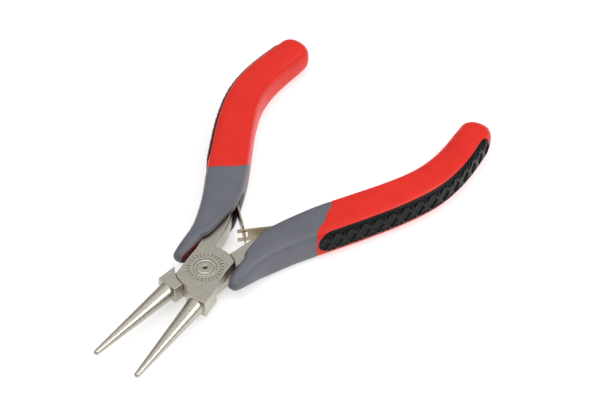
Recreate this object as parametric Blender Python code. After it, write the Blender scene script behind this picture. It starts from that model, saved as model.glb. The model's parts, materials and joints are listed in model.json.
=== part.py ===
"""Round nose pliers for jewellery work: a five inch lap-joint pair with a leaf return spring.

The drawing plane is XY in millimetres, with the pivot at its origin: jaws towards -Y, handles
towards +Y, and Z across the thickness of the joint. The last step moves every piece so that the
tool lies on Z = 0 with its box centred on the origin, in metres.

Both jaw halves are one forging, used twice: the upper half is the lower one turned half a turn
about Y. The lower half runs from the right handle to the left jaw.
"""
import math

import bmesh
import bpy
from mathutils import Matrix, Vector

MM = 0.001
FIT = 0.15            # gap between pieces that are moulded or fitted together

# Lap joint
HALF_THICK = 2.6      # half the thickness of the joint
LAP_R = 7.8           # round part of each lap
SHOULDER_R = 8.15     # hollow shoulder that clears the other half's lap
LAP_GAP = 0.05        # each lap face stands this far from the middle plane
RIVET_R = 2.0
RIVET_HEAD_R = 3.1
RIVET_HEAD_H = 0.9
RIVET_CLEARANCE = 0.08

# Round jaws, drawn for the jaw at -X
JAW_FACE = ((-7.65, -10.1), (-1.8, -10.7))
CONE_BASE = (-4.5, -9.6)
CONE_TIP = (-6.45, -37.0)
CONE_BASE_R = 2.5
CONE_TIP_R = 0.75

# Handle: values along its centre line, as (y, value)
SPINE_X = [(-2, 6.1), (10, 7.3), (20, 10.8), (30, 15.7), (40, 21.2), (50, 26.4), (60, 30.3),
           (70, 31.7), (84, 31.2), (92, 30.8)]
OUTER_HALF = [(-2, 3.5), (1, 4.25), (4, 4.5), (10, 4.5), (20, 4.75), (32, 5.4), (48, 5.4), (62, 5.1),
              (74, 4.6), (84, 4.2), (92, 4.1)]
INNER_HALF = [(-2, 3.6), (10, 4.4), (20, 5.2), (32, 6.0), (44, 5.75), (56, 5.2), (70, 4.9), (80, 5.1),
              (90, 5.4)]
THICK_HALF = [(-2, 0.8), (0, 1.6), (3, 2.8), (7, 3.95), (13, 4.6), (20, 4.75), (80, 4.75)]
# Superellipse exponents of the two sides of the section, which grows rounder towards its end
OUTER_ROUND = [(-2, 2.8), (8, 3.2), (24, 4.5), (62, 4.5), (80, 3.2), (88, 2.3)]
INNER_ROUND = [(0, 4.2), (50, 4.0), (80, 3.0), (88, 2.3)]
COLLAR_LIFT = [(-2, 0.9), (4, 0.7), (9, 0.3), (13, 0.0), (20, 0.0)]    # the tips sit above the middle
FLAT_LAND = 1.04      # the section is stretched by this and cut off flat, above and below
DOME_Y = 83.8
END_Y = 88.3

# Tang: its middle, as an offset from the handle's centre line, and its half width.
# Ahead of the tang itself, these give the collar's clearance round the neck.
TANG_OFFSET = [(8, -1.6), (12, -1.95), (14, -2.15), (20, -2.0), (28, -0.4), (40, 0.0), (60, 0.0)]
TANG_HALF = [(-1, 2.55), (3, 1.9), (6, 1.65), (8.4, 1.95), (12, 2.4), (20, 2.1), (28, 1.9), (60, 1.6)]
TANG_START_Y = 12.0
TANG_END_Y = 52.0
TANG_GAP = 0.35
TANG_CHAMFER = 0.5

# Joint line between the collar and the grip, and the mouth of the collar: (degrees, y).
# The right handle's joint line steps back over the top and bottom; the left one's is nearly square.
SEAM = {"right": [(0, 26.7), (45, 27.1), (70, 28.1), (85, 29.9), (95, 33.2), (110, 34.5), (180, 35.3)],
        "left": [(0, 33.0), (30, 32.2), (60, 31.5), (90, 31.85), (130, 33.2), (155, 34.3), (180, 36.5)]}
MOUTH = [(0, -0.4), (35, -0.3), (60, 0.1), (75, 1.3), (83, 4.2), (90, 8.5), (103, 12.6),
         (125, 16.0), (146, 18.0), (160, 18.9), (168.5, 20.4), (173, 23.2), (176, 25.6), (180, 26.8)]
COLUMNS = 40          # points round each handle moulding
SPRING_POCKET = 1.6   # extra room on the inner side of the tang, for the spring's root
SPRING_POCKET_END = 33.0

# Rubber pad on the outer side of each grip
PAD_HALF = 3.6
PAD_START_Y = {"right": 27.2, "left": 33.5}
PAD_END_Y = 83.7
PAD_PROUD = 0.35
PAD_DEPTH = 1.0

# Return spring
LEAF_THICK = 0.5
LEAF_HALF = 2.15
LINK_Y = 17.2         # where the two leaves cross, on the middle line
LEAF_ROOT_Y = (27.0, 31.6)
PRONG_LENGTH = 1.8
SLOT_HALF = 1.15
TONGUE_HALF = 0.62
HOOK_HALF = 1.7
SPRING_RIVET_Y = 29.3
SPRING_RIVET_R = 0.8
SPRING_RIVET_HEAD_R = 1.35
SPRING_RIVET_PLAY = 0.12

JAW_TIP_Y = CONE_TIP[1] - CONE_TIP_R
PIVOT_Y = -(END_Y + JAW_TIP_Y) / 2
MID_Z = 4.7


# ---------------------------------------------------------------- curves

def along(knots, t):
    """Smooth value at t through (t, value) knots."""
    last = len(knots) - 1
    i = 0
    while i < last - 1 and t > knots[i + 1][0]:
        i += 1
    (t0, v0), (t1, v1) = knots[i], knots[i + 1]

    def slope(k):
        low, high = knots[max(k - 1, 0)], knots[min(k + 1, last)]
        return (high[1] - low[1]) / (high[0] - low[0])

    span = t1 - t0
    f = min(max((t - t0) / span, 0.0), 1.0)
    rise = (f ** 3 - 2 * f ** 2 + f) * slope(i) + (f ** 3 - f ** 2) * slope(i + 1)
    return v0 + (v1 - v0) * (3 * f ** 2 - 2 * f ** 3) + span * rise


def spine(y):
    """Point on the right handle's centre line and the outward direction there."""
    step = 0.05
    lean = (along(SPINE_X, y + step) - along(SPINE_X, y - step)) / (2 * step)
    length = math.hypot(1.0, lean)
    return Vector((along(SPINE_X, y), y, 0.0)), Vector((1.0 / length, -lean / length, 0.0))


def power(value, exponent):
    return math.copysign(abs(value) ** exponent, value)


def skin(y, angle, inset=0.0):
    """Point on the handle's surface: angle 0 is the outer side, 90 the top, 180 the inner side."""
    centre, outward = spine(y)
    cosine, sine = math.cos(math.radians(angle)), math.sin(math.radians(angle))
    if cosine >= 0:
        half, exponent = along(OUTER_HALF, y), along(OUTER_ROUND, y)
    else:
        half, exponent = along(INNER_HALF, y), along(INNER_ROUND, y)
    thick = min(along(THICK_HALF, y), MID_Z) - inset
    across = (half - inset) * power(cosine, 2 / exponent)
    up = thick * FLAT_LAND * power(sine, 2 / exponent)
    up = min(max(up, -thick), thick)
    reach = min(max((y - DOME_Y) / (END_Y - DOME_Y), 0.0), 1.0)
    shrink = math.sqrt(1.0 - reach ** 2)
    return centre + outward * across * shrink + Vector((0, 0, up * shrink))


def raised(side, y, angle):
    """Point on the collar's surface, whose tip sits a little above the middle of the tool."""
    up = along(COLLAR_LIFT, y) * (1 if side == "right" else -1)
    return skin(y, angle) + Vector((0, 0, up))


def pad_skin(y, height, proud):
    """Point at a height on the handle's outer side, standing proud of it."""
    centre, outward = spine(y)
    rise = abs(height) / (along(THICK_HALF, y) * FLAT_LAND)
    exponent = along(OUTER_ROUND, y)
    across = along(OUTER_HALF, y) * (1 - rise ** exponent) ** (1 / exponent)
    return centre + outward * (across + proud) + Vector((0, 0, height))


def pocket(y, point):
    """Where the line from the tang's middle to a point on the skin leaves the tang's pocket."""
    centre, outward = spine(y)
    middle = centre + outward * along(TANG_OFFSET, y)
    across = (point - middle).dot(outward)
    up = point.z
    half = along(TANG_HALF, y) + TANG_GAP
    if across < 0 and y < SPRING_POCKET_END:
        half += SPRING_POCKET * min(1.0, (SPRING_POCKET_END - y) / 1.5)
    tall = HALF_THICK + TANG_GAP
    scale = (abs(across / half) ** 5 + abs(up / tall) ** 5) ** -0.2
    return middle + (point - middle) * scale


def seam_y(side, angle):
    """Where the collar meets the grip, at an angle round the handle."""
    folded = abs((angle + 180) % 360 - 180)
    return along(SEAM[side], folded)


def tang_edge(y, side):
    """Point on the edge of the tang: side is +1 for the outer edge and -1 for the inner."""
    centre, outward = spine(y)
    return centre + outward * (along(TANG_OFFSET, y) + side * along(TANG_HALF, y))


# ---------------------------------------------------------------- mesh helpers

def clear_scene():
    for item in list(bpy.data.objects):
        bpy.data.objects.remove(item, do_unlink=True)


def material(name, colour, roughness, metallic=0.0):
    made = bpy.data.materials.new(name)
    made.use_nodes = True
    shader = made.node_tree.nodes["Principled BSDF"]
    shader.inputs["Base Color"].default_value = (*colour, 1.0)
    shader.inputs["Roughness"].default_value = roughness
    shader.inputs["Metallic"].default_value = metallic
    return made


def new_object(name, bm, made=None):
    """Object from a bmesh drawn in millimetres for the right handle, faces turned outwards."""
    bmesh.ops.recalc_face_normals(bm, faces=bm.faces)
    mesh = bpy.data.meshes.new(name)
    bm.to_mesh(mesh)
    bm.free()
    item = bpy.data.objects.new(name, mesh)
    bpy.context.scene.collection.objects.link(item)
    if made:
        mesh.materials.append(made)
    return item


def tube(bm, rings, closed_ring=True):
    """Quads between neighbouring rings of points; gives the rings of vertices."""
    made = [[bm.verts.new(point) for point in ring] for ring in rings]
    count = len(made[0])
    for low, high in zip(made, made[1:]):
        for k in range(count if closed_ring else count - 1):
            after = (k + 1) % count
            bm.faces.new((low[k], low[after], high[after], high[k]))
    return made


def prism(outline, low, high):
    """Upright prism on an outline of (x, y) points."""
    bm = bmesh.new()
    base = [bm.verts.new((x, y, low)) for x, y in outline]
    top = [bm.verts.new((x, y, high)) for x, y in outline]
    bm.faces.new(base)
    bm.faces.new(top)
    count = len(outline)
    for k in range(count):
        after = (k + 1) % count
        bm.faces.new((base[k], base[after], top[after], top[k]))
    return bm


def turned(profile, start, direction, steps=32):
    """Solid of revolution: (distance, radius) pairs along a direction, closed at both ends."""
    axis = Vector(direction).normalized()
    side = axis.orthogonal().normalized()
    other = axis.cross(side)
    bm = bmesh.new()
    rings = []
    for distance, radius in profile:
        centre = Vector(start) + axis * distance
        rings.append([centre + (side * math.cos(a) + other * math.sin(a)) * radius
                      for a in (math.tau * k / steps for k in range(steps))])
    made = tube(bm, rings)
    bm.faces.new(made[0])
    bm.faces.new(made[-1])
    return bm


def arc(radius, first, last, steps):
    """Points on a circle about the pivot, from one angle to another in degrees."""
    angles = [math.radians(first + (last - first) * k / steps) for k in range(steps + 1)]
    return [(radius * math.cos(a), radius * math.sin(a)) for a in angles]


def boolean(item, cutter, operation="DIFFERENCE"):
    cutter.hide_render = True
    cutter.display_type = "WIRE"
    step = item.modifiers.new(cutter.name, "BOOLEAN")
    step.operation = operation
    step.solver = "EXACT"
    step.object = cutter


def turn_over(item):
    """Make a copy the other half: half a turn about Y."""
    item.data.transform(Matrix.Rotation(math.pi, 4, "Y"))


# ---------------------------------------------------------------- steel halves

def half_outline():
    lap_front = arc(LAP_R, -99.6, -51.5, 10)
    lap_back = arc(LAP_R, 73.0, 130.8, 12)
    steps = 14
    rows = [TANG_START_Y + (TANG_END_Y - TANG_START_Y) * k / steps for k in range(steps + 1)]
    outer = [tang_edge(y, 1)[:2] for y in rows]
    inner = [tang_edge(y, -1)[:2] for y in reversed(rows)]
    neck_outer = [(5.5, -1.9), (6.0, 2.9), (7.4, 8.4)]
    neck_inner = [(2.75, 9.0)]
    block_side = [(-5.3, 2.0), (-5.9, -1.2), (-6.75, -4.3)]
    return [*JAW_FACE] + lap_front + neck_outer + outer + inner + neck_inner + lap_back + block_side


def steel_half(name, made, upper):
    item = new_object(name, prism(half_outline(), -HALF_THICK, HALF_THICK), made)
    chamfer = item.modifiers.new("tang_chamfer", "BEVEL")
    chamfer.limit_method = "WEIGHT"
    chamfer.width = TANG_CHAMFER
    chamfer.offset_type = "OFFSET"
    chamfer.segments = 1
    weights = item.data.attributes.new("bevel_weight_edge", "FLOAT", "EDGE")
    for edge in item.data.edges:
        ends = [item.data.vertices[k].co for k in edge.vertices]
        level = abs(ends[0].z - ends[1].z) < 0.01
        in_collar = min(end.x for end in ends) > 5.5 and min(end.y for end in ends) > 2.0
        on_tang = min(end.y for end in ends) > TANG_START_Y + 1
        weights.data[edge.index].value = 1.0 if level and (in_collar or on_tang) else 0.0

    axis = Vector((*CONE_TIP, 0)) - Vector((*CONE_BASE, 0))
    length = axis.length
    nose = [(length + CONE_TIP_R * math.sin(a), CONE_TIP_R * math.cos(a))
            for a in (math.radians(20 * k) for k in range(5))]
    cone = new_object(name + "_cone", turned([(0, CONE_BASE_R)] + nose, (*CONE_BASE, 0), axis))
    boolean(item, cone, "UNION")

    shoulder = new_object(name + "_shoulder", turned([(0, SHOULDER_R), (HALF_THICK + 1, SHOULDER_R)],
                                                     (0, 0, -LAP_GAP), (0, 0, 1), 64))
    boolean(item, shoulder)
    hole_r = RIVET_R + RIVET_CLEARANCE
    sink_r = RIVET_HEAD_R + RIVET_CLEARANCE
    sink = HALF_THICK - RIVET_HEAD_H - RIVET_CLEARANCE
    hole = new_object(name + "_hole", turned([(-HALF_THICK - 1, sink_r), (-sink, sink_r),
                                              (-sink, hole_r), (1, hole_r)], (0, 0, 0), (0, 0, 1), 40))
    boolean(item, hole)
    centre, outward = spring_rivet_axis()
    blind_r = SPRING_RIVET_R + SPRING_RIVET_PLAY
    blind = new_object(name + "_blind", turned([(-3.0, blind_r), (1.8, blind_r)], centre, outward, 16))
    boolean(item, blind)
    if upper:
        for piece in (item, cone, shoulder, hole, blind):
            turn_over(piece)
    return item


def pivot_rivet(made):
    top = HALF_THICK + 0.02
    neck = top - RIVET_HEAD_H
    profile = [(-top, 0.5), (-top, RIVET_HEAD_R), (-neck, RIVET_HEAD_R), (-neck, RIVET_R),
               (neck, RIVET_R), (neck, RIVET_HEAD_R), (top, RIVET_HEAD_R), (top, 0.55), (top - 0.3, 0.12)]
    return new_object("pivot_rivet", turned(profile, (0, 0, 0), (0, 0, 1), 40), made)


# ---------------------------------------------------------------- return spring

def spring_rivet_axis():
    """A point on the tang's inner face at the spring's rivet, and the way into the tang."""
    return tang_edge(SPRING_RIVET_Y, -1), spine(SPRING_RIVET_Y)[1]


def leaf_path():
    """The leaf's middle line in plan, root first, with the bend where it leaves the tang."""
    stand_off = FIT + LEAF_THICK / 2
    front, back = (tang_edge(y, -1) - spine(y)[1] * stand_off for y in LEAF_ROOT_Y)
    link = Vector((0, LINK_Y, 0))
    root_way = (front - back).normalized()
    free_way = (link - front).normalized()
    knee = [front - root_way * 0.9, front, front + free_way * 0.9]
    soft = [knee[0] * (1 - f) ** 2 + knee[1] * 2 * f * (1 - f) + knee[2] * f ** 2
            for f in (0.0, 0.25, 0.5, 0.75, 1.0)]
    return [back] + soft, link, free_way


def leaf(side, made, widths):
    """Bent strip. widths lists (distance past the link, half width) for its free end."""
    name = "spring_leaf_" + side
    path, link, free_way = leaf_path()
    stations = [(point, LEAF_HALF) for point in path]
    stations += [(link + free_way * distance, half) for distance, half in widths]
    rings = []
    for k, (point, half) in enumerate(stations):
        before = stations[max(k - 1, 0)][0]
        after = stations[min(k + 1, len(stations) - 1)][0]
        way = (after - before).normalized()
        across = Vector((way.y, -way.x, 0)) * LEAF_THICK / 2
        up = Vector((0, 0, half))
        rings.append([point - across - up, point + across - up, point + across + up, point - across + up])
    bm = bmesh.new()
    ends = tube(bm, rings)
    bm.faces.new(ends[0])
    bm.faces.new(ends[-1])
    item = new_object(name, bm, made)
    centre, outward = spring_rivet_axis()
    hole_r = SPRING_RIVET_R + SPRING_RIVET_PLAY
    hole = new_object(name + "_hole", turned([(-3, hole_r), (3, hole_r)], centre, outward, 16))
    boolean(item, hole)
    cutters = [hole]
    if side == "right":
        slot = prism([(-1.0, -1.0), (PRONG_LENGTH + 1, -1.0), (PRONG_LENGTH + 1, 1.0), (-1.0, 1.0)],
                     -SLOT_HALF, SLOT_HALF)
        slot.transform(Matrix.Translation(link) @ Matrix.Rotation(math.atan2(free_way.y, free_way.x), 4, "Z"))
        slot = new_object(name + "_slot", slot)
        boolean(item, slot)
        cutters.append(slot)
    if side == "left":
        for piece in [item] + cutters:
            turn_over(piece)
    return item


def spring_rivet(side, made):
    centre, outward = spring_rivet_axis()
    face = -(FIT + LEAF_THICK) - 0.2
    profile = [(face - 0.45, 0.7), (face - 0.3, SPRING_RIVET_HEAD_R), (face, SPRING_RIVET_HEAD_R),
               (face, SPRING_RIVET_R), (1.6, SPRING_RIVET_R)]
    item = new_object("spring_rivet_" + side, turned(profile, centre, outward, 16), made)
    if side == "left":
        turn_over(item)
    return item


# ---------------------------------------------------------------- handle mouldings

def mouth_point(f):
    """Angle and y on the mouth of the collar, for f from 0 at the outer side to 1 at the notch."""
    place = f * (len(MOUTH) - 1)
    angles = [(k, angle) for k, (angle, y) in enumerate(MOUTH)]
    ys = [(k, y) for k, (angle, y) in enumerate(MOUTH)]
    return along(angles, place), along(ys, place)


def collar(side, made):
    """Grey sleeve: outer skin, seam face, tang pocket and mouth, as one closed surface."""
    half_count = COLUMNS // 2
    rows = 9
    columns = []
    for k in range(-half_count, half_count):
        f = abs(k) / half_count
        front_angle, front_y = mouth_point(f)
        sign = -1 if k < 0 else 1
        columns.append((sign * front_angle, front_y, sign * 180 * f))
    outer, inner = [], []
    for row in range(rows + 1):
        f = row / rows
        ring_out, ring_in = [], []
        for front_angle, front_y, back_angle in columns:
            angle = front_angle + (back_angle - front_angle) * f
            y = front_y + (seam_y(side, back_angle) - FIT / 2 - front_y) * f
            point = raised(side, y, angle)
            ring_out.append(point)
            ring_in.append(pocket(y, point))
        outer.append(ring_out)
        inner.append(ring_in)
    rings = outer + inner[::-1]
    bm = bmesh.new()
    tube(bm, rings + [rings[0]])
    bmesh.ops.remove_doubles(bm, verts=bm.verts, dist=1e-4)
    item = new_object("collar_" + side, bm, made)
    if side == "left":
        turn_over(item)
    return item


def grip(side, made):
    """Red handle body: skin with a domed end, and a blind pocket for the tang."""
    angles = [360 * k / COLUMNS for k in range(COLUMNS)]
    starts = {a: seam_y(side, a) + FIT / 2 for a in angles}
    level_y = 44.0
    outer, inner = [], []
    pocket_end = TANG_END_Y + 2 * TANG_GAP
    seam_rows = 4
    for row in range(seam_rows):
        f = row / seam_rows
        outer.append([skin(starts[a] + (level_y - starts[a]) * f, a) for a in angles])
    body_rows = 9
    dome_rows = 4
    for row in range(body_rows):
        y = level_y + (DOME_Y - level_y) * row / body_rows
        outer.append([skin(y, a) for a in angles])
    for row in range(dome_rows):
        y = DOME_Y + (END_Y - DOME_Y) * math.sin(math.radians(90 * row / dome_rows))
        outer.append([skin(y, a) for a in angles])
    pocket_rows = 4
    for row in range(pocket_rows + 1):
        f = row / pocket_rows
        ring = []
        for a in angles:
            y = starts[a] + (pocket_end - starts[a]) * f
            ring.append(pocket(y, skin(y, a)))
        inner.append(ring)
    bm = bmesh.new()
    made_rings = tube(bm, outer[::-1] + inner)
    bm.faces.new(made_rings[-1])
    tip, _ = spine(END_Y)
    pole = bm.verts.new(tip)
    last = made_rings[0]
    for k in range(COLUMNS):
        bm.faces.new((last[k], last[(k + 1) % COLUMNS], pole))
    item = new_object("grip_" + side, bm, made)
    recess = pad_solid("recess_" + side, side, None, FIT, 1.2)
    boolean(item, recess)
    if side == "left":
        turn_over(item)
        turn_over(recess)
    return item


def pad_solid(name, side, made, grow, proud):
    """Stadium-shaped inlay on the outer side of the grip."""
    half = PAD_HALF + grow
    start, end = PAD_START_Y[side] - grow, PAD_END_Y + grow
    ends = [half * (1 - math.cos(math.radians(a))) for a in (12, 35, 60, 90)]
    middle_rows = 14
    straight = [start + half + (end - start - 2 * half) * k / middle_rows for k in range(1, middle_rows)]
    rows = [start + d for d in ends] + straight + [end - d for d in reversed(ends)]
    columns = 6
    bm = bmesh.new()
    rings = []
    for y in rows:
        short = max(start + half - y, y - (end - half), 0.0)
        reach = math.sqrt(max(half ** 2 - short ** 2, 0.0))
        heights = [reach * (2 * k / columns - 1) for k in range(columns + 1)]
        front = [pad_skin(y, height, proud) for height in heights]
        back = [pad_skin(y, height, -PAD_DEPTH - grow) for height in reversed(heights)]
        rings.append(front + back)
    made_rings = tube(bm, rings)
    bm.faces.new(made_rings[0])
    bm.faces.new(made_rings[-1])
    return new_object(name, bm, made)


def pad(side, made):
    item = pad_solid("pad_" + side, side, made, 0.0, PAD_PROUD)
    if side == "left":
        turn_over(item)
    return item


# ---------------------------------------------------------------- assembly

def main():
    clear_scene()
    steel = material("satin_steel", (0.43, 0.40, 0.35), 0.38, 1.0)
    spring_steel = material("spring_steel", (0.55, 0.50, 0.42), 0.3, 1.0)
    grey = material("grey_rubber", (0.15, 0.16, 0.19), 0.55)
    red = material("red_grip", (0.76, 0.03, 0.02), 0.42)
    black = material("black_rubber", (0.012, 0.014, 0.014), 0.6)

    steel_half("jaw_half_lower", steel, upper=False)
    steel_half("jaw_half_upper", steel, upper=True)
    pivot_rivet(steel)
    blank = [(-1.2, LEAF_HALF), (PRONG_LENGTH, LEAF_HALF)]
    tongue = [(-1.3, LEAF_HALF), (-1.2, TONGUE_HALF), (0.55, TONGUE_HALF), (0.6, HOOK_HALF), (1.2, HOOK_HALF)]
    leaf("right", spring_steel, blank)
    leaf("left", spring_steel, tongue)
    for side in ("right", "left"):
        spring_rivet(side, steel)
        collar(side, grey)
        grip(side, red)
        pad(side, black)

    place = Matrix.Translation((0, PIVOT_Y * MM, MID_Z * MM)) @ Matrix.Scale(MM, 4)
    for item in bpy.data.objects:
        item.data.transform(place)
        for step in item.modifiers:
            if step.type == "BEVEL":
                step.width *= MM


main()
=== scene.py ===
"""Looks of the round nose pliers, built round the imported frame.

The drawing plane is the part's own: millimetres about the pivot, jaws towards -Y, handles towards
+Y, and Z across the thickness. Every piece is drawn for the right handle, or for the half that
runs from the right handle to the left jaw, and turn_over makes its twin for the other side.
"""
import json
import math

import bmesh
import bpy
import numpy as np
from mathutils import Matrix, Vector


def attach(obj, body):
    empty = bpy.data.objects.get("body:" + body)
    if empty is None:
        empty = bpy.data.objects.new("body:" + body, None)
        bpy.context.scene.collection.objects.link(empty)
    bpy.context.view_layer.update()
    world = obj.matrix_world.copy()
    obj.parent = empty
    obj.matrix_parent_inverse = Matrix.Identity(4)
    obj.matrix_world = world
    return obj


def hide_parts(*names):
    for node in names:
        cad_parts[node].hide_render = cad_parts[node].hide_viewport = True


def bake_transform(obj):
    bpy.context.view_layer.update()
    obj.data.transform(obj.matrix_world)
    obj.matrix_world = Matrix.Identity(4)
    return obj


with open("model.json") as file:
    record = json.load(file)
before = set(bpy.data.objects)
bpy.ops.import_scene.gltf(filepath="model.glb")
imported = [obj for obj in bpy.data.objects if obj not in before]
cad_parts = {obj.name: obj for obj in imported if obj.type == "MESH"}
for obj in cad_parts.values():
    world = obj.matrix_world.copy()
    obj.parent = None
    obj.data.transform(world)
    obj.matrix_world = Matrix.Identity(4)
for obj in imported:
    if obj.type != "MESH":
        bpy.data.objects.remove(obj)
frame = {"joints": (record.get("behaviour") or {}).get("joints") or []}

MM = 0.001
PIVOT = Vector(next(j for j in frame["joints"] if j["name"] == "handle_pivot")["pos_m"]) / MM
PLACE = Matrix.Scale(MM, 4) @ Matrix.Translation(PIVOT)

# Camera: its direction and distance from the pivot, and how far it stands right of and above it
VIEW_AZIMUTH = 35.0
VIEW_ELEVATION = 45.2
VIEW_ROLL = -0.2
VIEW_DISTANCE = 520.0
VIEW_RIGHT = 23.3
VIEW_UP = 17.2
VIEW_LENS = 122.03
FLOOR_GLOW = 0.5
FLOOR_DROP = 0.00005    # the card lies just under the grips' flat undersides, in metres

# Lap joint
HALF_THICK = 2.6
LAP_R = 7.8
SHOULDER_R = 7.95
LAP_GAP = 0.05
RIVET_R = 2.0
RIVET_HEAD_R = 3.1
RIVET_HEAD_H = 0.9
RIVET_CLEARANCE = 0.04
EDGE_ROUND = 0.16     # soft edge round the top and bottom of the steel
MARK_RING_R = 4.45
MARK_COUNT = 28
MARK_HALF = 0.15
MARK_TAPER = 0.04
MARK_DEPTH = 0.3
# Bar, then pair of dots: (middle across, middle along, half length across, half length along) the
# radius, with MARK_HALF added to both half lengths
MARKS = (((0.0, 0.0, 0.02, 0.42),),
         ((0.0, 0.33, 0.05, 0.03), (0.0, -0.33, 0.05, 0.03)))

# Round jaws, drawn for the jaw at -X
JAW_FACE = ((-7.65, -10.1), (-1.8, -10.7))
CONE_BASE = (-4.5, -9.6)
CONE_TIP = (-6.45, -37.0)
CONE_BASE_R = 2.5
CONE_TIP_R = 0.75

# Handle: values along its centre line, as (y, value)
SPINE_X = [(-2, 6.1), (10, 7.3), (20, 10.8), (30, 15.7), (40, 21.2), (50, 26.4), (60, 30.3),
           (70, 31.7), (84, 31.2), (92, 30.8)]
OUTER_HALF = [(-2, 3.5), (1, 4.25), (4, 4.5), (10, 4.5), (20, 4.75), (32, 5.4), (48, 5.4), (62, 5.1),
              (74, 4.6), (84, 4.2), (92, 4.1)]
INNER_HALF = [(-2, 3.6), (10, 4.4), (20, 5.2), (32, 6.0), (44, 5.75), (56, 5.2), (70, 4.9), (80, 5.1),
              (90, 5.4)]
THICK_HALF = [(-2, 0.8), (0, 1.6), (3, 2.8), (7, 3.95), (13, 4.6), (20, 4.75), (80, 4.75)]
OUTER_ROUND = [(-2, 2.8), (8, 3.2), (24, 4.5), (62, 4.5), (80, 3.2), (88, 2.3)]
INNER_ROUND = [(0, 4.2), (50, 4.0), (80, 3.0), (88, 2.3)]
COLLAR_LIFT = [(-2, 0.9), (4, 0.7), (9, 0.3), (13, 0.0), (20, 0.0)]    # the tips sit above the middle
DOME_Y = 83.8
END_Y = 88.3
TANG_OFFSET = [(8, -1.6), (12, -1.95), (14, -2.15), (20, -2.0), (28, -0.4), (40, 0.0), (60, 0.0)]
TANG_HALF = [(-1, 2.55), (3, 1.9), (6, 1.65), (8.4, 1.95), (12, 2.4), (20, 2.1), (28, 1.9), (60, 1.6)]
TANG_START_Y = 12.0
TANG_END_Y = 52.0
TANG_CHAMFER = 0.5
SPRING_POCKET = 1.6
SPRING_POCKET_END = 33.0

# Handle mouldings: joint line and mouth as (degrees round the handle, y)
SEAM = {"right": [(0, 26.7), (45, 27.1), (70, 28.1), (85, 29.9), (95, 33.2), (110, 34.5), (180, 35.3)],
        "left": [(0, 33.0), (30, 32.2), (60, 31.5), (90, 31.85), (130, 33.2), (155, 34.3), (180, 36.5)]}
MOUTH = [(0, -0.4), (35, -0.3), (60, 0.1), (75, 1.3), (83, 4.2), (90, 8.5), (103, 12.6),
         (125, 16.0), (146, 18.0), (160, 18.9), (168.5, 20.4), (173, 23.2), (176, 25.6), (180, 26.8)]
COLUMNS = 144         # points round each moulding
SEAM_GAP = 0.04       # fine gap between collar and grip
SEAM_ROUND = 0.08
COLLAR_BORE = 0.6     # room between the tang and the collar, which the liner fills
LINER_OUTER = 0.57
LINER_BORE = 0.3
LINER_END_GAP = 0.3
LINER_RECESS = 0.6    # how far the liner stands back in the collar's mouth
LIP_R = 0.85          # rounding of the collar's mouth
GRIP_BORE = 0.35
LEVEL_Y = 44.0        # from here on the rows of the grip are square to the tool

# Rubber pad
PAD_HALF = 3.3
PAD_START_Y = {"right": 27.2, "left": 33.5}
PAD_END_Y = 83.7
PAD_DEPTH = 0.9
PAD_FIT = 0.06
RECESS_TOP = 1.2      # the recess is cut from this far outside the grip
PAD_RISE = {"right": 0.55, "left": -0.55}    # both pads sit a little above the middle
TREAD_FLOOR = 0.02    # height of the hollows over the grip's skin
TREAD_TOP = 0.45
TREAD_PITCH = 4.05
TREAD_REACH = 3.0     # half the width of the tread, where its diagonals meet
DIAGONAL_HALF = 0.5
RIB_HALF = 0.36
BEAD_WIDTH = 0.5
BEAD_TOP = 0.3

# Return spring
LEAF_THICK = 0.5
LEAF_HALF = 2.15
LEAF_EDGE = 0.09
LINK_Y = 17.2
LEAF_ROOT_Y = (27.0, 31.6)
LEAF_STAND_OFF = 0.4
PRONG_START = -1.2     # places along a leaf are measured past the link
PRONG_LENGTH = 1.8
SLOT_START = -1.0
SLOT_HALF = 1.15
SLOT_ROUND = 0.15
TONGUE_START = -1.2
TONGUE_END = 0.9
TONGUE_HALF = 0.62
HOOK_END = 1.5
HOOK_HALF = 1.7
SPRING_RIVET_Y = 29.3
SPRING_RIVET_R = 0.8
SPRING_RIVET_HEAD_R = 1.35
SPRING_RIVET_PLAY = 0.12


# ---------------------------------------------------------------- curves

def along(knots, t):
    """Smooth value at t through (t, value) knots."""
    last = len(knots) - 1
    i = 0
    while i < last - 1 and t > knots[i + 1][0]:
        i += 1
    (t0, v0), (t1, v1) = knots[i], knots[i + 1]

    def slope(k):
        low, high = knots[max(k - 1, 0)], knots[min(k + 1, last)]
        return (high[1] - low[1]) / (high[0] - low[0])

    span = t1 - t0
    f = min(max((t - t0) / span, 0.0), 1.0)
    rise = (f ** 3 - 2 * f ** 2 + f) * slope(i) + (f ** 3 - f ** 2) * slope(i + 1)
    return v0 + (v1 - v0) * (3 * f ** 2 - 2 * f ** 3) + span * rise


def smoothstep(f):
    f = min(max(f, 0.0), 1.0)
    return f * f * (3 - 2 * f)


def spine(y):
    """Point on the right handle's centre line and the outward direction there."""
    step = 0.05
    lean = (along(SPINE_X, y + step) - along(SPINE_X, y - step)) / (2 * step)
    length = math.hypot(1.0, lean)
    return Vector((along(SPINE_X, y), y, 0.0)), Vector((1.0 / length, -lean / length, 0.0))


def power(value, exponent):
    return math.copysign(abs(value) ** exponent, value)


def skin(y, angle, inset=0.0):
    """Point on the handle's surface: angle 0 is the outer side, 90 the top, 180 the inner side."""
    centre, outward = spine(y)
    cosine, sine = math.cos(math.radians(angle)), math.sin(math.radians(angle))
    if cosine >= 0:
        half, exponent = along(OUTER_HALF, y), along(OUTER_ROUND, y)
    else:
        half, exponent = along(INNER_HALF, y), along(INNER_ROUND, y)
    thick = min(along(THICK_HALF, y), PIVOT.z) - inset
    across = (half - inset) * power(cosine, 2 / exponent)
    up = thick * power(sine, 2 / exponent)
    reach = min(max((y - DOME_Y) / (END_Y - DOME_Y), 0.0), 1.0)
    shrink = math.sqrt(1.0 - reach ** 2)
    return centre + outward * across * shrink + Vector((0, 0, up * shrink))


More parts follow.
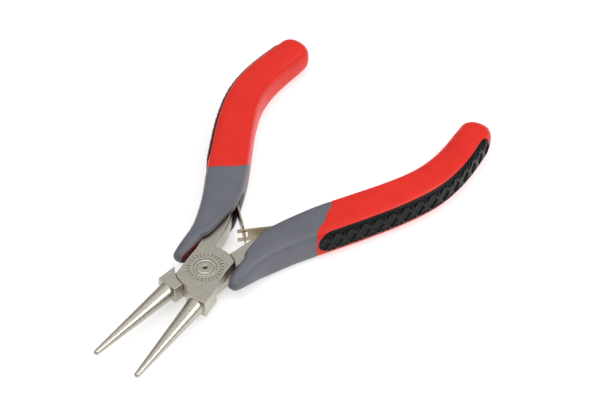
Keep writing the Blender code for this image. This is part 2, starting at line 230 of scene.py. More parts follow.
def raised(side, y, angle):
    """Point on the collar's surface, whose tip sits a little above the middle of the tool."""
    up = along(COLLAR_LIFT, y) * (1 if side == "right" else -1)
    return skin(y, angle) + Vector((0, 0, up))


def pad_skin(y, height, proud):
    """Point at a height on the handle's outer side, standing proud of it."""
    centre, outward = spine(y)
    rise = abs(height) / min(along(THICK_HALF, y), PIVOT.z)
    exponent = along(OUTER_ROUND, y)
    across = along(OUTER_HALF, y) * (1 - rise ** exponent) ** (1 / exponent)
    return centre + outward * (across + proud) + Vector((0, 0, height))


def pocket(y, point, gap):
    """Where the line from the tang's middle to a point on the skin leaves a bore round the tang."""
    centre, outward = spine(y)
    middle = centre + outward * along(TANG_OFFSET, y)
    across = (point - middle).dot(outward)
    half = along(TANG_HALF, y) + gap
    if across < 0 and y < SPRING_POCKET_END:
        half += SPRING_POCKET * min(1.0, (SPRING_POCKET_END - y) / 1.5)
    tall = HALF_THICK + gap
    scale = (abs(across / half) ** 5 + abs(point.z / tall) ** 5) ** -0.2
    return middle + (point - middle) * min(scale, 0.93)


def seam_y(side, angle):
    """Where the collar meets the grip, at an angle round the handle."""
    folded = abs((angle + 180) % 360 - 180)
    return along(SEAM[side], folded)


def mouth_point(f):
    """Angle and y on the mouth of the collar, for f from 0 at the outer side to 1 at the notch."""
    place = f * (len(MOUTH) - 1)
    angles = [(k, angle) for k, (angle, y) in enumerate(MOUTH)]
    ys = [(k, y) for k, (angle, y) in enumerate(MOUTH)]
    return along(angles, place), along(ys, place)


def tang_edge(y, side):
    """Point on the edge of the tang: side is +1 for the outer edge and -1 for the inner."""
    centre, outward = spine(y)
    return centre + outward * (along(TANG_OFFSET, y) + side * along(TANG_HALF, y))


def arc(radius, first, last, steps):
    """Points on a circle about the pivot, from one angle to another in degrees."""
    angles = [math.radians(first + (last - first) * k / steps) for k in range(steps + 1)]
    return [Vector((radius * math.cos(a), radius * math.sin(a))) for a in angles]


def soften(points, radius, steps=6):
    """Round the sharp corners of a closed outline, where both sides are long enough for it."""
    made = []
    count = len(points)
    for k, corner in enumerate(points):
        back, ahead = points[k - 1] - corner, points[(k + 1) % count] - corner
        turn = math.degrees((-back).angle(ahead))
        shorter = min(back.length, ahead.length)
        reach = min(radius(corner), 0.4 * shorter)
        if turn < 8 or shorter < 0.8 or reach == 0:
            made.append(corner)
            continue
        first, last = corner + back.normalized() * reach, corner + ahead.normalized() * reach
        for step in range(steps + 1):
            f = step / steps
            made.append(first * (1 - f) ** 2 + corner * 2 * f * (1 - f) + last * f ** 2)
    return made


# ---------------------------------------------------------------- mesh helpers

def new_object(name, bm):
    bmesh.ops.recalc_face_normals(bm, faces=bm.faces)
    mesh = bpy.data.meshes.new(name)
    bm.to_mesh(mesh)
    bm.free()
    item = bpy.data.objects.new(name, mesh)
    bpy.context.scene.collection.objects.link(item)
    return item


def tube(bm, rings):
    """Quads between neighbouring rings of points; gives the rings of vertices."""
    made = [[bm.verts.new(point) for point in ring] for ring in rings]
    count = len(made[0])
    for low, high in zip(made, made[1:]):
        for k in range(count):
            after = (k + 1) % count
            bm.faces.new((low[k], low[after], high[after], high[k]))
    return made


def cap(bm, made):
    """Close both ends of a tube, from its rings of vertices."""
    bm.faces.new(made[0])
    bm.faces.new(made[-1])


def capped_tube(rings):
    bm = bmesh.new()
    cap(bm, tube(bm, rings))
    return bm


def turned(profile, start, direction, steps=96):
    """Solid of revolution: (distance, radius) pairs along a direction, closed at both ends."""
    axis = Vector(direction).normalized()
    side = axis.orthogonal().normalized()
    other = axis.cross(side)
    rings = []
    for distance, radius in profile:
        centre = Vector(start) + axis * distance
        rings.append([centre + (side * math.cos(a) + other * math.sin(a)) * radius
                      for a in (math.tau * k / steps for k in range(steps))])
    return capped_tube(rings)


def inward_normals(points):
    """Unit directions into a closed outline at each of its points."""
    count = len(points)
    area = sum(points[k - 1].cross(points[k]) for k in range(count))
    turn = 1.0 if area > 0 else -1.0
    normals = []
    for k in range(count):
        before = (points[k] - points[k - 1]).normalized()
        after = (points[(k + 1) % count] - points[k]).normalized()
        way = (before + after).normalized()
        normals.append(Vector((-way.y, way.x)) * turn)
    return normals


def soft_prism(outline, low, high, radius, steps=3):
    """Upright prism whose top and bottom edges are rounded by radius(point)."""
    normals = inward_normals(outline)
    rings = []
    levels = [(low, 1, k) for k in range(steps + 1)] + [(high, -1, k) for k in range(steps, -1, -1)]
    for level, sign, k in levels:
        a = math.radians(90 * k / steps)
        ring = []
        for point, inward in zip(outline, normals):
            r = radius(point)
            spot = point + inward * r * (1 - math.sin(a))
            ring.append((spot.x, spot.y, level + sign * r * (1 - math.cos(a))))
        rings.append(ring)
    return capped_tube(rings)


def boolean(item, cutters, operation="DIFFERENCE"):
    """Cut or join with each cutter in turn, apply the result and delete the cutters."""
    for cutter in cutters:
        step = item.modifiers.new(cutter.name, "BOOLEAN")
        step.operation = operation
        step.solver = "EXACT"
        step.object = cutter
    graph = bpy.context.evaluated_depsgraph_get()
    mesh = bpy.data.meshes.new_from_object(item.evaluated_get(graph))
    item.modifiers.clear()
    item.data = mesh
    for cutter in cutters:
        bpy.data.objects.remove(cutter, do_unlink=True)


def turn_over(item):
    """Make a copy the other side's twin: half a turn about Y."""
    item.data.transform(Matrix.Rotation(math.pi, 4, "Y"))


def finish_piece(item, side, node, paint, crease=35):
    """Turn, place, shade and paint a piece, and hide the CAD node it stands for."""
    if side == "left":
        turn_over(item)
    item.data.transform(PLACE)
    item.data.materials.clear()
    item.data.materials.append(paint)
    item.data.shade_smooth()
    item.data.set_sharp_from_angle(angle=math.radians(crease))
    even = item.modifiers.new("even_normals", "WEIGHTED_NORMAL")
    even.keep_sharp = True
    if node:
        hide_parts(node)
    return item


def body_of_side(side):
    return "lower_half" if side == "right" else "upper_half"


# ---------------------------------------------------------------- steel halves

def half_outline():
    lap_front = arc(LAP_R, -99.6, -51.5, 44)
    lap_back = arc(LAP_R, 73.0, 130.8, 52)
    steps = 40
    rows = [TANG_START_Y + (TANG_END_Y - TANG_START_Y) * k / steps for k in range(steps + 1)]
    outer = [tang_edge(y, 1).xy for y in rows]
    inner = [tang_edge(y, -1).xy for y in reversed(rows)]
    jaw_block = [Vector(corner) for corner in JAW_FACE]
    neck_outer = [Vector((5.5, -1.9)), Vector((6.0, 2.9)), Vector((7.4, 8.4))]
    neck_inner = [Vector((2.75, 9.0))]
    block_side = [Vector((-5.3, 2.0)), Vector((-5.9, -1.2)), Vector((-6.75, -4.3))]
    points = jaw_block + lap_front + neck_outer + outer + inner + neck_inner + lap_back + block_side
    return soften(points, corner_round)


def corner_round(point):
    """How far each corner of a half is cut back: wide on the neck, and not at all on the tang."""
    if point.y > TANG_START_Y:
        return 0.0
    return 1.4 if point.x > 2 and point.y > -9 else 0.34


def steel_edge(point):
    """Rounding of the steel's edges: small in sight, and the tang's chamfer inside the collar."""
    start = 2.0 if point.x > 5.5 else TANG_START_Y
    return EDGE_ROUND + (TANG_CHAMFER - EDGE_ROUND) * smoothstep((point.y - start) / 2.5)


def mark_ring():
    """Plain bars and dots sunk in a ring round the rivet."""
    bm = bmesh.new()
    low, high = -HALF_THICK - 0.5, -HALF_THICK + MARK_DEPTH
    for k in range(MARK_COUNT):
        turn = Matrix.Rotation(math.tau * k / MARK_COUNT, 4, "Z")
        for across, out, half_across, half_out in MARKS[k % len(MARKS)]:
            middle = Vector((MARK_RING_R + out, across))
            rings = []
            for z, half in ((low, MARK_HALF), (high, MARK_HALF - MARK_TAPER)):
                reach = Vector((half_out + half, half_across + half))
                corners = [(middle.x + sx * reach.x, middle.y + sy * reach.y)
                           for sx, sy in ((-1, -1), (1, -1), (1, 1), (-1, 1))]
                rings.append([turn @ Vector((x, y, z)) for x, y in corners])
            cap(bm, tube(bm, rings))
    return new_object("mark_ring", bm)


def steel_half(side, paint):
    node = "jaw_half_lower" if side == "right" else "jaw_half_upper"
    body = soft_prism(half_outline(), -HALF_THICK, HALF_THICK, steel_edge)
    item = new_object("finished_" + node, body)
    axis = Vector((*CONE_TIP, 0)) - Vector((*CONE_BASE, 0))
    nose = [(axis.length + CONE_TIP_R * math.sin(a), CONE_TIP_R * math.cos(a))
            for a in (math.radians(9.5 * k) for k in range(10))]
    shank = [(axis.length * k / 24, CONE_BASE_R + (CONE_TIP_R - CONE_BASE_R) * k / 24)
             for k in range(24)]
    cone = new_object("cone", turned(shank + nose, (*CONE_BASE, 0), axis))
    boolean(item, [cone], "UNION")

    rim = HALF_THICK + LAP_GAP
    shoulder = turned([(0, SHOULDER_R), (rim - 0.12, SHOULDER_R), (rim + 1, SHOULDER_R + 1.12)],
                      (0, 0, -LAP_GAP), (0, 0, 1), 180)
    hole_r = RIVET_R + RIVET_CLEARANCE
    sink_r = RIVET_HEAD_R + RIVET_CLEARANCE
    sink = HALF_THICK - RIVET_HEAD_H - RIVET_CLEARANCE
    hole = turned([(-HALF_THICK - 1, sink_r), (-sink, sink_r), (-sink, hole_r), (1, hole_r)],
                  (0, 0, 0), (0, 0, 1), 120)
    centre, outward = spring_rivet_axis()
    blind_r = SPRING_RIVET_R + SPRING_RIVET_PLAY
    blind = turned([(-3.0, blind_r), (1.8, blind_r)], centre, outward, 32)
    cutters = [new_object("shoulder", shoulder), new_object("hole", hole), new_object("blind", blind)]
    if side == "left":
        cutters.append(mark_ring())
    boolean(item, cutters)
    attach(finish_piece(item, side, node, paint), body_of_side(side))


def pivot_rivet(paint):
    """Rivet with a flush head in each half: a deep centre mark and a fine turned groove."""
    top = HALF_THICK + 0.03
    neck = HALF_THICK - RIVET_HEAD_H
    face = [(top - 1.3, 0.1), (top - 1.2, 0.4), (top - 0.2, 0.56), (top - 0.05, 0.62), (top, 0.72),
            (top, 1.3), (top - 0.02, 1.38), (top - 0.02, 1.46), (top, 1.54), (top, 2.16),
            (top - 0.05, 2.22), (top - 0.05, 2.32), (top, 2.38), (top, RIVET_HEAD_R - 0.08),
            (top - 0.03, RIVET_HEAD_R - 0.03), (top - 0.08, RIVET_HEAD_R), (neck, RIVET_HEAD_R),
            (neck, RIVET_R)]
    profile = [(-d, r) for d, r in face] + [(d, r) for d, r in reversed(face)]
    item = new_object("finished_pivot_rivet", turned(profile, (0, 0, 0), (0, 0, 1), 120))
    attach(finish_piece(item, "right", "pivot_rivet", paint, 50), "upper_half")


# ---------------------------------------------------------------- return spring

def spring_rivet_axis():
    """A point on the tang's inner face at the spring's rivet, and the way into the tang."""
    return tang_edge(SPRING_RIVET_Y, -1), spine(SPRING_RIVET_Y)[1]


def leaf_path():
    """The leaf's middle line in plan, root first, with the bend where it leaves the tang."""
    front, back = (tang_edge(y, -1) - spine(y)[1] * LEAF_STAND_OFF for y in LEAF_ROOT_Y)
    link = Vector((0, LINK_Y, 0))
    root_way = (front - back).normalized()
    free_way = (link - front).normalized()
    knee = [front - root_way * 0.9, front, front + free_way * 0.9]
    steps = 12
    soft = [knee[0] * (1 - f) ** 2 + knee[1] * 2 * f * (1 - f) + knee[2] * f ** 2
            for f in (k / steps for k in range(steps + 1))]
    shank = [soft[-1].lerp(link - free_way * 1.5, k / 16) for k in range(1, 16)]
    return [back] + soft + shank, link, free_way


def leaf_section(point, way, half):
    """Outline of the strip across its length, with its long edges eased."""
    across = Vector((way.y, -way.x, 0))
    thin, edge = LEAF_THICK / 2, LEAF_EDGE
    corners = [(thin - edge, half), (thin, half - edge), (thin, edge - half), (thin - edge, -half),
               (edge - thin, -half), (-thin, edge - half), (-thin, half - edge), (edge - thin, half)]
    return [point + across * x + Vector((0, 0, z)) for x, z in corners]


def leaf(side, widths, paint):
    """Bent strip. widths lists (distance past the link, half width) for its free end."""
    path, link, free_way = leaf_path()
    stations = [(point, LEAF_HALF) for point in path]
    stations += [(link + free_way * distance, half) for distance, half in widths]
    rings = []
    for k, (point, half) in enumerate(stations):
        before = stations[max(k - 1, 0)][0]
        after = stations[min(k + 1, len(stations) - 1)][0]
        rings.append(leaf_section(point, (after - before).normalized(), half))
    node = "spring_leaf_" + side
    item = new_object("finished_" + node, capped_tube(rings))
    centre, outward = spring_rivet_axis()
    hole_r = SPRING_RIVET_R + SPRING_RIVET_PLAY
    cutters = [new_object("rivet_hole", turned([(-3, hole_r), (3, hole_r)], centre, outward, 32))]
    if side == "right":
        first, last = SLOT_START, PRONG_LENGTH + 1
        corners = [Vector(c) for c in ((first, -1.0), (last, -1.0), (last, 1.0), (first, 1.0))]
        slot = soft_prism(corners, -SLOT_HALF, SLOT_HALF, lambda point: SLOT_ROUND)
        turn = Matrix.Rotation(math.atan2(free_way.y, free_way.x), 4, "Z")
        slot.transform(Matrix.Translation(link) @ turn)
        cutters.append(new_object("fork_slot", slot))
    boolean(item, cutters)
    finish_piece(item, side, node, paint)
    way = Vector(free_way)
    if side == "left":
        way.x = -way.x
    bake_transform(item)


def spring_rivet(side, paint):
    centre, outward = spring_rivet_axis()
    face = -(0.15 + LEAF_THICK) - 0.2
    dome = [(face - 0.5 * math.cos(a), 0.05 + (SPRING_RIVET_HEAD_R - 0.05) * math.sin(a))
            for a in (math.radians(15 * k) for k in range(7))]
    profile = dome + [(face, SPRING_RIVET_R), (1.6, SPRING_RIVET_R)]
    node = "spring_rivet_" + side
    item = new_object("finished_" + node, turned(profile, centre, outward, 48))
    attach(finish_piece(item, side, node, paint), body_of_side(side))


# ---------------------------------------------------------------- handle mouldings

def distance_to_line(points, line):
    """Shortest distance from each point to a closed line of points."""
    start = np.array(line, float)
    way = np.roll(start, -1, axis=0) - start
    length2 = np.maximum((way ** 2).sum(1), 1e-12)
    offset = np.array(points, float)[:, None, :] - start[None, :, :]
    share = np.clip((offset * way[None]).sum(2) / length2[None], 0, 1)
    return np.sqrt(((offset - share[:, :, None] * way[None]) ** 2).sum(2)).min(1)


def sleeve_columns():
    """For each column round the collar: angle and y at the mouth, and angle at the joint line."""
    half_count = COLUMNS // 2
    columns = []
    for k in range(-half_count, half_count):
        f = abs(k) / half_count
        front_angle, front_y = mouth_point(f)
        sign = -1 if k < 0 else 1
        columns.append((sign * front_angle, front_y, sign * 180 * f))
    return columns


def sleeve_place(side, column, f, gap):
    """Angle and y on the collar, from its mouth at f = 0 to its joint line at f = 1."""
    front_angle, front_y, back_angle = column
    y = front_y + (seam_y(side, back_angle) - gap - front_y) * f
    return y, front_angle + (back_angle - front_angle) * f


def set_back(column):
    """The same column, starting further back than the collar's mouth."""
    angle, front_y, back_angle = column
    return angle, front_y + LINER_RECESS, back_angle


def collar(side, paint):
    """Grey sleeve with a rounded mouth and a finger guard."""
    columns = sleeve_columns()
    rows = 64
    outer = []
    for row in range(rows + 1):
        f = (row / rows) ** 2
        places = [sleeve_place(side, column, f, SEAM_GAP / 2) for column in columns]
        outer.append([(raised(side, y, angle), y) for y, angle in places])
    rim = [point for point, y in outer[0]]
    rings = []
    for row, ring in enumerate(outer):
        away = distance_to_line([point for point, y in ring], rim)
        made = []
        for (point, y), d in zip(ring, away):
            toward = (pocket(y, point, COLLAR_BORE) - point).normalized()
            inset = LIP_R - math.sqrt(LIP_R ** 2 - (LIP_R - min(d, LIP_R)) ** 2)
            if row == rows:
                inset += SEAM_ROUND
            made.append(point + toward * inset)
        rings.append(made)
    bore_rows = 24
    for row in range(bore_rows, -1, -1):
        f = (row / bore_rows) ** 2
        places = [sleeve_place(side, column, f, SEAM_GAP / 2) for column in columns]
        rings.append([pocket(y, raised(side, y, angle), COLLAR_BORE) for y, angle in places])
    bm = bmesh.new()
    tube(bm, rings + [rings[0]])
    bmesh.ops.remove_doubles(bm, verts=bm.verts, dist=1e-4)
    node = "collar_" + side
    item = new_object("finished_" + node, bm)
    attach(finish_piece(item, side, node, paint, 50), body_of_side(side))


def liner(side, paint):
    """Thin red sleeve between the tang and the collar, seen along the mouth and in the notch; its paint
    is a darkened red, with painted shade for the collar's shadowed mouth.
    """
    columns = sleeve_columns()
    rows = 24
    walls = {}
    for bore in (LINER_OUTER, LINER_BORE):
        wall = []
        for row in range(rows + 1):
            f = (row / rows) ** 2
            places = [sleeve_place(side, set_back(column), f, LINER_END_GAP) for column in columns]
            wall.append([pocket(y, raised(side, y, angle), bore) for y, angle in places])
        walls[bore] = wall
    rings = walls[LINER_OUTER] + walls[LINER_BORE][::-1]
    bm = bmesh.new()
    tube(bm, rings + [rings[0]])
    bmesh.ops.remove_doubles(bm, verts=bm.verts, dist=1e-4)
    item = new_object("liner_" + side, bm)
    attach(finish_piece(item, side, None, paint, 50), body_of_side(side))


def grip(side, paint):
    """Red body with a domed end, a recess for the pad and a bore for the tang."""
    angles = [360 * k / COLUMNS for k in range(COLUMNS)]
    starts = {a: seam_y(side, a) + SEAM_GAP / 2 for a in angles}
    rings = []
    seam_rows = 16
    for row in range(seam_rows):
        f = row / seam_rows
        inset = SEAM_ROUND if row == 0 else 0.0
        rings.append([skin(starts[a] + (LEVEL_Y - starts[a]) * f, a, inset) for a in angles])
    body_rows = 56
    for row in range(body_rows):
        y = LEVEL_Y + (DOME_Y - LEVEL_Y) * row / body_rows
        rings.append([skin(y, a) for a in angles])
    dome_rows = 22
    for row in range(dome_rows):
        y = DOME_Y + (END_Y - DOME_Y) * math.sin(math.radians(90 * row / dome_rows))
        rings.append([skin(y, a) for a in angles])
    rings.reverse()
    bore_end = TANG_END_Y + 0.8
    bore_rows = 6
    for row in range(bore_rows + 1):
        f = row / bore_rows
        places = [(starts[a] + (bore_end - starts[a]) * f, a) for a in angles]
        rings.append([pocket(y, skin(y, a), GRIP_BORE) for y, a in places])
    bm = bmesh.new()
    made = tube(bm, rings)
    bm.faces.new(made[-1])
    tip = bm.verts.new(spine(END_Y)[0])
    for k in range(COLUMNS):
        bm.faces.new((made[0][k], made[0][(k + 1) % COLUMNS], tip))
    node = "grip_" + side
    item = new_object("finished_" + node, bm)
    recess = stadium("recess", side, PAD_FIT, lambda u, v, edge: RECESS_TOP, 12, 0.9)
    boolean(item, [recess])
    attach(finish_piece(item, side, node, paint, 40), body_of_side(side))


# ---------------------------------------------------------------- rubber pads

def ridge(distance, half):
    """Rounded bar: 1 on its middle, 0 from its half width outwards."""
    return 1.0 - smoothstep((distance - 0.45 * half) / (0.75 * half))


def tread(u, v, edge):
    """Height of the pad over the skin, u along it, v across it and edge from its outline."""
    steep = TREAD_REACH / (TREAD_PITCH / 2)
    square = steep / math.hypot(1.0, steep)

    def from_line(place):
        turns = place / TREAD_PITCH
        return abs(turns - round(turns)) * TREAD_PITCH

    diagonal = min(from_line(u - v / steep), from_line(u + v / steep)) * square
    bars = ridge(diagonal, DIAGONAL_HALF)
    rib = ridge(from_line(u), RIB_HALF) * smoothstep((abs(v) - 0.3) / 0.4)
    inner = TREAD_FLOOR + (TREAD_TOP - TREAD_FLOOR) * max(bars, rib)
    rise = math.sqrt(1 - (1 - min(max(edge / BEAD_WIDTH, 0.0), 1.0)) ** 2)
    bead = BEAD_TOP * rise
    return bead + (inner - bead) * smoothstep((edge - BEAD_WIDTH) / 0.22)


def stadium(name, side, grow, height, columns, pitch):
    """Solid with a stadium outline on the grip's outer side; height gives its outer surface."""
    half = PAD_HALF + grow
    start, end = PAD_START_Y[side] - grow, PAD_END_Y + grow
    turns = max(int(half * 1.6 / pitch), 8)
    ends = [half * (1 - math.cos(math.radians(6 + 84 * k / turns))) for k in range(turns)]
    count = int((end - start - 2 * half) / pitch)
    straight = [start + half + (end - start - 2 * half) * k / count for k in range(count + 1)]
    rows = [start + d for d in ends] + straight + [end - d for d in reversed(ends)]
    middle = (PAD_START_Y[side] + PAD_END_Y) / 2
    length = 0.0
    before = spine(rows[0])[0]
    lengths = []
    for y in rows:
        here = spine(y)[0]
        length += (here - before).length
        before = here
        lengths.append((y, length))
    zero = along(lengths, middle)
    rings = []
    for y, length in lengths:
        short = max(start + half - y, y - (end - half), 0.0)
        reach = math.sqrt(max(half ** 2 - short ** 2, 0.0))
        heights = [reach * (2 * k / columns - 1) for k in range(columns + 1)]
        rise = PAD_RISE[side]
        front = [pad_skin(y, v + rise, height(length - zero, v, half - math.hypot(short, v)))
                 for v in heights]
        back = [pad_skin(y, v + rise, -PAD_DEPTH - grow) for v in reversed(heights)]
        rings.append(front + back)
    return new_object(name, capped_tube(rings))


def pad(side, paint):
    node = "pad_" + side
    item = stadium("finished_" + node, side, 0.0, tread, 44, 0.15)
    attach(finish_piece(item, side, node, paint, 60), body_of_side(side))


# ---------------------------------------------------------------- materials

class Paint:
    """A procedural material on a Principled shader, with object coordinates in millimetres."""

    def __init__(self, name, **values):
        self.material = bpy.data.materials.new(name)
        self.material.use_nodes = True
        self.tree = self.material.node_tree
        self.shader = self.tree.nodes["Principled BSDF"]
        for socket, value in values.items():
            self.shader.inputs[socket.replace("_", " ")].default_value = value
        place = self.add("ShaderNodeTexCoord")
        scale = self.add("ShaderNodeMapping")
        scale.inputs["Scale"].default_value = (1 / MM,) * 3
        self.link(place.outputs["Object"], scale.inputs["Vector"])
        self.millimetres = scale.outputs["Vector"]
        self.last_bump = None

    def add(self, kind):
        return self.tree.nodes.new(kind)

    def link(self, source, target):
        self.tree.links.new(source, target)

    def stretched(self, factors):
        node = self.add("ShaderNodeMapping")
        node.inputs["Scale"].default_value = factors
        self.link(self.millimetres, node.inputs["Vector"])
        return node.outputs["Vector"]

    def noise(self, grain, detail=3.0, rough=0.55, vector=None):
        """Noise whose features are about grain millimetres across."""
        node = self.add("ShaderNodeTexNoise")
        node.inputs["Scale"].default_value = 1 / grain
        node.inputs["Detail"].default_value = detail
        node.inputs["Roughness"].default_value = rough
        self.link(vector or self.millimetres, node.inputs["Vector"])
        return node.outputs["Fac"]

    def cells(self, grain):
        """Distance from scattered points about grain millimetres apart."""
        node = self.add("ShaderNodeTexVoronoi")
        node.inputs["Scale"].default_value = 1 / grain
        self.link(self.millimetres, node.inputs["Vector"])
        return node.outputs["Distance"]

    def spread(self, factor, low, high, start=0.3, end=0.7):
        """Map a factor from start..end to low..high."""
        node = self.add("ShaderNodeMapRange")
        for socket, value in (("From Min", start), ("From Max", end), ("To Min", low), ("To Max", high)):
            node.inputs[socket].default_value = value
        self.link(factor, node.inputs["Value"])
        return node.outputs["Result"]

    def along_y(self):
        """Place along the tool, in millimetres."""
        node = self.add("ShaderNodeSeparateXYZ")
        self.link(self.millimetres, node.inputs["Vector"])
        return node.outputs["Y"]

    def plus(self, first, second):
        node = self.add("ShaderNodeMath")
        node.operation = "ADD"
        self.link(first, node.inputs[0])
        self.link(second, node.inputs[1])
        return node.outputs["Value"]

    def ramp(self, factor, *stops):
        node = self.add("ShaderNodeValToRGB")
        elements = node.color_ramp.elements
        while len(elements) < len(stops):
            elements.new(0.5)
        for element, (position, colour) in zip(elements, stops):
            element.position = position
            element.color = (*colour, 1.0)
        self.link(factor, node.inputs["Fac"])
        return node.outputs["Color"]

    def mix(self, factor, first, second):
        node = self.add("ShaderNodeMix")
        node.data_type = "RGBA"
        self.link(factor, node.inputs["Factor"])
        self.link(first, node.inputs["A"])
        self.link(second, node.inputs["B"])
        return node.outputs["Result"]

    def colour(self, source):
        self.link(source, self.shader.inputs["Base Color"])

    def roughness(self, source):
        self.link(source, self.shader.inputs["Roughness"])

    def bump(self, height, depth, strength=1.0):
        """Add relief of about depth millimetres on top of what is there."""
        node = self.add("ShaderNodeBump")
        node.inputs["Distance"].default_value = depth * MM
        node.inputs["Strength"].default_value = strength
        self.link(height, node.inputs["Height"])
        if self.last_bump:
            self.link(self.last_bump, node.inputs["Normal"])
        self.last_bump = node.outputs["Normal"]
        self.link(self.last_bump, self.shader.inputs["Normal"])


def satin_steel():
    """Nickel plate over a blasted forging: speckled flats and finely ground cones."""
    paint = Paint("satin_steel_blasted", Metallic=1.0)
    cloud = paint.noise(2.4, 4)
    grain = paint.noise(0.3, 3, 0.7)
    base = paint.ramp(cloud, (0.3, (0.47, 0.435, 0.375)), (0.7, (0.55, 0.515, 0.45)))
    speck = paint.ramp(grain, (0.34, (0.36, 0.33, 0.275)), (0.52, (0.52, 0.485, 0.42)),
                       (0.74, (0.68, 0.64, 0.57)))
    share = paint.spread(paint.cells(0.5), 0.9, 0.4, 0.1, 0.6)
    paint.colour(paint.mix(share, base, speck))
    face_y = PIVOT.y + JAW_FACE[1][1]
    ground = paint.spread(paint.along_y(), -0.03, 0.0, face_y - 1.0, face_y)
    paint.roughness(paint.plus(paint.spread(grain, 0.27, 0.42), ground))
    paint.bump(grain, 0.016)
    paint.bump(paint.noise(0.12, 2), 0.006)
    return paint.material


def turned_steel():
    """Rivet head: the same plate with faint turning rings about the pivot."""
    paint = Paint("satin_steel_turned", Metallic=1.0)
    cloud = paint.noise(0.6, 4)
    paint.colour(paint.ramp(cloud, (0.3, (0.44, 0.41, 0.35)), (0.7, (0.56, 0.525, 0.46))))
    paint.roughness(paint.spread(cloud, 0.28, 0.42))
    rings = paint.add("ShaderNodeTexWave")
    rings.wave_type = "RINGS"
    rings.rings_direction = "Z"
    rings.inputs["Scale"].default_value = 1.4
    rings.inputs["Distortion"].default_value = 0.3
    about = paint.add("ShaderNodeMapping")
    about.inputs["Location"].default_value = -PIVOT
    paint.link(paint.millimetres, about.inputs["Vector"])
    paint.link(about.outputs["Vector"], rings.inputs["Vector"])
    paint.bump(rings.outputs["Fac"], 0.004)
    paint.bump(paint.noise(0.12, 2), 0.006)
    return paint.material


def spring_steel():
    """Rolled strip: brighter, with fine lines along it and a faint straw tint."""
    paint = Paint("spring_steel_rolled", Metallic=1.0)
    lines = paint.noise(0.5, 4, 0.6, paint.stretched((0.25, 0.25, 6.0)))
    paint.colour(paint.ramp(lines, (0.3, (0.36, 0.29, 0.19)), (0.7, (0.64, 0.56, 0.42))))
    paint.roughness(paint.spread(lines, 0.18, 0.34))
    paint.bump(lines, 0.004)
    return paint.material


def moulded(name, dark, light, low, high, shine):
    """Soft moulded plastic: slow colour drift, fine grain and rubbed patches."""
    paint = Paint(name, Specular_IOR_Level=shine)
    drift = paint.noise(7.0, 3)
    grain = paint.noise(0.22, 3, 0.65)
    rubbed = paint.noise(3.0, 5, 0.6)
    paint.colour(paint.ramp(drift, (0.3, dark), (0.7, light)))
    paint.roughness(paint.spread(rubbed, low, high))
    paint.bump(grain, 0.010)
    paint.bump(paint.noise(1.4, 2), 0.02, 0.5)
    return paint.material


def floor_paint():
    """White card, lit from below as on a light table, so that shadows stay faint."""
    paint = Paint("floor_card", Roughness=0.9, Specular_IOR_Level=0.1, Emission_Strength=FLOOR_GLOW)
    paint.shader.inputs["Emission Color"].default_value = (1.0, 1.0, 1.0, 1.0)
    fibre = paint.noise(6.0, 5)
    paint.colour(paint.ramp(fibre, (0.3, (0.66, 0.66, 0.66)), (0.7, (0.68, 0.68, 0.68))))
    return paint.material


# ---------------------------------------------------------------- stage

def camera():
    data = bpy.data.cameras.new("camera")
    data.sensor_width = 36.0
    data.lens = VIEW_LENS
    data.clip_start = 0.01
    item = bpy.data.objects.new("camera", data)
    bpy.context.scene.collection.objects.link(item)
    a, e = math.radians(VIEW_AZIMUTH), math.radians(VIEW_ELEVATION)
    back = Vector((math.sin(a) * math.cos(e), -math.cos(a) * math.cos(e), math.sin(e)))
    right = Vector((math.cos(a), math.sin(a), 0.0))
    up = back.cross(right)
    roll = Matrix.Rotation(math.radians(VIEW_ROLL), 3, back)
    right, up = roll @ right, roll @ up
    turn = Matrix((right, up, back)).transposed().to_4x4()
    spot = PIVOT + right * VIEW_RIGHT + up * VIEW_UP + back * VIEW_DISTANCE
    item.matrix_world = Matrix.Translation(spot * MM) @ turn
    bpy.context.scene.camera = item


def softbox(name, place, aim, size, radiance, colour=(1.0, 1.0, 1.0)):
    """Area light of a given radiance, aimed at a point."""
    data = bpy.data.lights.new(name, "AREA")
    data.shape = "RECTANGLE"
    data.size, data.size_y = size
    data.energy = radiance * math.pi * size[0] * size[1]
    data.color = colour
    item = bpy.data.objects.new(name, data)
    bpy.context.scene.collection.objects.link(item)
    item.location = place
    item.rotation_euler = (Vector(aim) - Vector(place)).to_track_quat("-Z", "Y").to_euler()


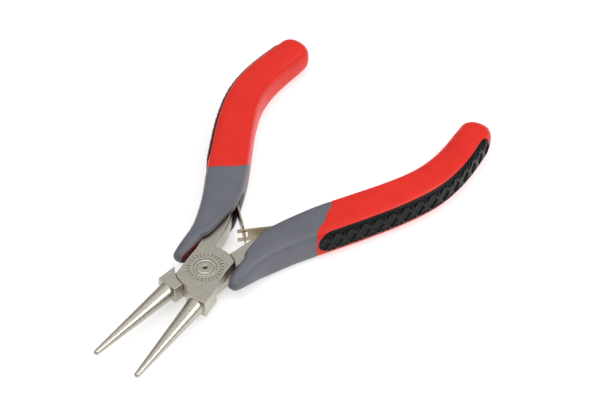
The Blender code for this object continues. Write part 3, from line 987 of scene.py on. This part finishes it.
def sky():
    """Even studio surround: brighter overhead, dimmer towards the horizon."""
    world = bpy.data.worlds.new("studio")
    bpy.context.scene.world = world
    world.use_nodes = True
    nodes, links = world.node_tree.nodes, world.node_tree.links
    place = nodes.new("ShaderNodeTexCoord")
    split = nodes.new("ShaderNodeSeparateXYZ")
    links.new(place.outputs["Generated"], split.inputs["Vector"])
    ramp = nodes.new("ShaderNodeValToRGB")
    stops = [(0.0, 0.10), (0.18, 0.14), (0.45, 0.50), (0.8, 0.78), (1.0, 0.85)]
    elements = ramp.color_ramp.elements
    while len(elements) < len(stops):
        elements.new(0.5)
    for element, (position, level) in zip(elements, stops):
        element.position = position
        element.color = (level, level, level, 1.0)
    links.new(split.outputs["Z"], ramp.inputs["Fac"])
    links.new(ramp.outputs["Color"], nodes["Background"].inputs["Color"])


def floor():
    bm = bmesh.new()
    bmesh.ops.create_circle(bm, cap_ends=True, segments=96, radius=4.0)
    item = new_object("floor", bm)
    item.location.z = -FLOOR_DROP
    item.data.materials.append(floor_paint())


def stage():
    camera()
    sky()
    softbox("side_softbox", (0.52, 0.24, 0.48), (0, 0, 0), (0.42, 0.36), 4.2)
    softbox("top_softbox", (-0.05, -0.15, 0.85), (0, 0, 0), (0.7, 0.7), 1.3)
    floor()
    bpy.context.scene.view_settings.view_transform = "Standard"


# ---------------------------------------------------------------- assembly


def main():
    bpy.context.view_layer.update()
    steel = satin_steel()
    strip = spring_steel()
    grey = moulded("grey_rubber_moulded", (0.112, 0.116, 0.142), (0.130, 0.134, 0.162), 0.38, 0.5, 0.5)
    red = moulded("red_grip_moulded", (0.68, 0.016, 0.008), (0.76, 0.022, 0.011), 0.34, 0.44, 0.28)
    # The liner's red plastic is painted far darker than the grip's red: painted shade for the collar's
    # shadowed mouth
    shaded_liner_red = moulded("red_liner_painted_shade", (0.10, 0.006, 0.009), (0.17, 0.011, 0.016), 0.5, 0.6, 0.15)
    black = moulded("black_rubber_moulded", (0.003, 0.0034, 0.0034), (0.006, 0.0066, 0.0066),
                    0.22, 0.36, 0.15)
    pivot_rivet(turned_steel())
    prongs = [(PRONG_START, LEAF_HALF), (PRONG_LENGTH, LEAF_HALF)]
    hook = [(TONGUE_START - 0.1, LEAF_HALF), (TONGUE_START, TONGUE_HALF),
            (TONGUE_END, TONGUE_HALF), (TONGUE_END + 0.05, HOOK_HALF), (HOOK_END, HOOK_HALF)]
    leaf("right", prongs, strip)
    leaf("left", hook, strip)
    for side in ("right", "left"):
        steel_half(side, steel)
        spring_rivet(side, steel)
        collar(side, grey)
        liner(side, shaded_liner_red)
        grip(side, red)
        pad(side, black)
    stage()


main()
